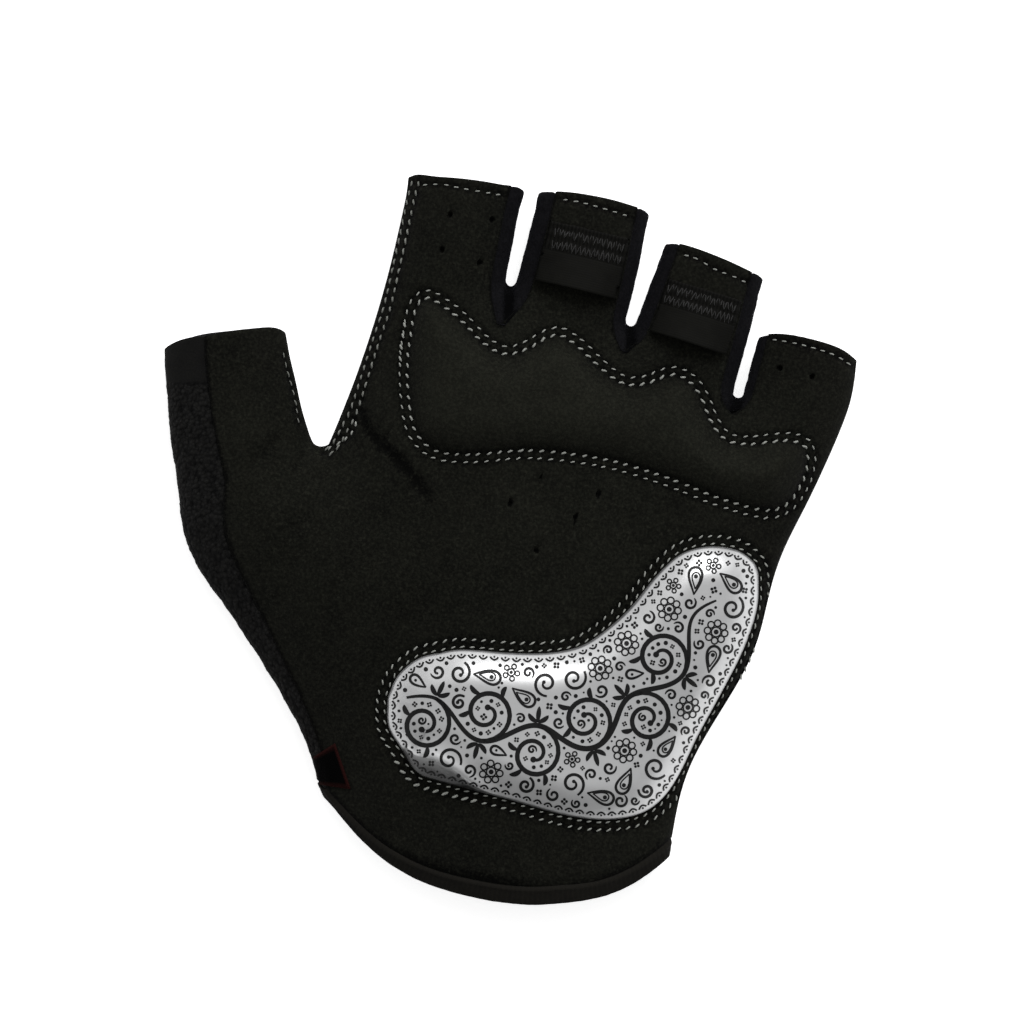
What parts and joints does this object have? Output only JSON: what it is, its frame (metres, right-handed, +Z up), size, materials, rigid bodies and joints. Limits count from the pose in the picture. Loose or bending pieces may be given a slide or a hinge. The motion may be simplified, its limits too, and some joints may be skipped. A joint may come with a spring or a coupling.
{
  "type": "cycling glove",
  "caption": "Left-hand fingerless cycling glove lying palm up, with a padded suede palm, stretch gussets between the fingers, pull loops and an elastic cuff.",
  "frame": {"origin": "on the surface that the glove rests on, below the middle of the palm", "axes": "+X across the palm towards the little finger, +Y towards the fingertips, +Z up out of the palm"},
  "size_m": [0.1573, 0.1632, 0.0257],
  "materials": {
    "suede": "matt brushed suede",
    "stretch_knit": "fine stretch knit",
    "terry": "looped towelling",
    "elastic": "woven elastic",
    "ribbed_tape": "ribbed satin tape",
    "printed_silver": "smooth silver coating with dark print"
  },
  "bodies": {
    "root": {"palm_panel": "suede", "back_panel": "stretch_knit", "fourchette_index_middle": "stretch_knit", "fourchette_middle_ring": "stretch_knit", "fourchette_ring_little": "stretch_knit", "thumb_wipe": "terry", "cuff_band": "elastic", "side_tab": "ribbed_tape", "knuckle_pad": "suede", "heel_pad": "printed_silver", "pull_loop_middle": "ribbed_tape", "pull_loop_ring": "ribbed_tape"}
  },
  "joints": []
}
